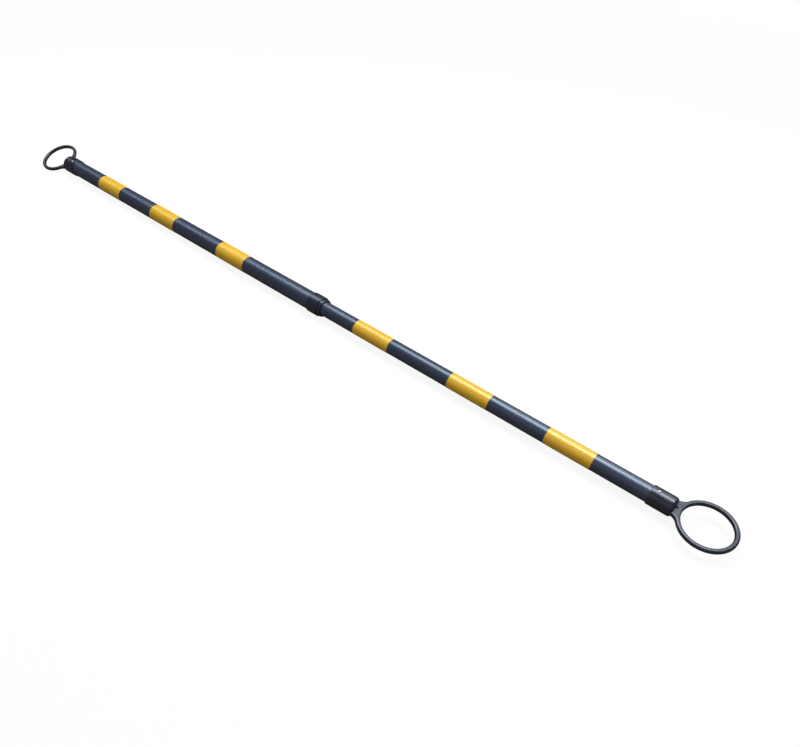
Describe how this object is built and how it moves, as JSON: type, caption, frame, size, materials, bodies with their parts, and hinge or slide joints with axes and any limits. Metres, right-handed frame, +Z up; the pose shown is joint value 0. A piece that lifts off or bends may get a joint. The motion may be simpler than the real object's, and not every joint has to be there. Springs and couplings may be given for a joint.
{
  "type": "retractable cone bar",
  "caption": "Telescopic bar of two sliding tubes with reflective bands and a moulded ring on each end that drops over the top of a traffic cone.",
  "frame": {"origin": "on the floor under the middle of the bar, lying pulled right out", "axes": "+X along the bar from the outer tube's ring to the inner tube's ring, +Z up"},
  "size_m": [2, 0.0998, 0.0443],
  "materials": {
    "tube_black": "extruded plastic tube, glossy blue-black",
    "fitting_black": "moulded plastic, satin black",
    "film_yellow": "yellow reflective film",
    "rivet_metal": "plain aluminium",
    "nylon": "natural nylon",
    "pin_steel": "plain steel",
    "drag_rubber": "black rubber"
  },
  "bodies": {
    "outer_half": {"outer_tube": "tube_black", "outer_ring_end": "fitting_black", "outer_rivets": "rivet_metal", "outer_band_1": "film_yellow", "outer_band_2": "film_yellow", "outer_band_3": "film_yellow", "mouth_collar": "fitting_black", "guide_bush": "fitting_black"},
    "tail_slider": {"guide_ring": "nylon"},
    "inner_half": {"inner_tube": "tube_black", "inner_ring_end": "fitting_black", "inner_rivets": "rivet_metal", "inner_band_1": "film_yellow", "inner_band_2": "film_yellow", "inner_band_3": "film_yellow", "tail_plug": "nylon", "plug_pin": "pin_steel", "drag_ring": "drag_rubber"}
  },
  "joints": [
    {"name": "extension", "type": "slide", "parent": "outer_half", "child": "tail_slider", "axis": [1, 0, 0], "range_m": [-0.75, 0]},
    {"name": "twist", "type": "hinge", "parent": "tail_slider", "child": "inner_half", "pos_m": [0.02, 0, 0.02215], "axis": [1, 0, 0], "continuous": true}
  ]
}
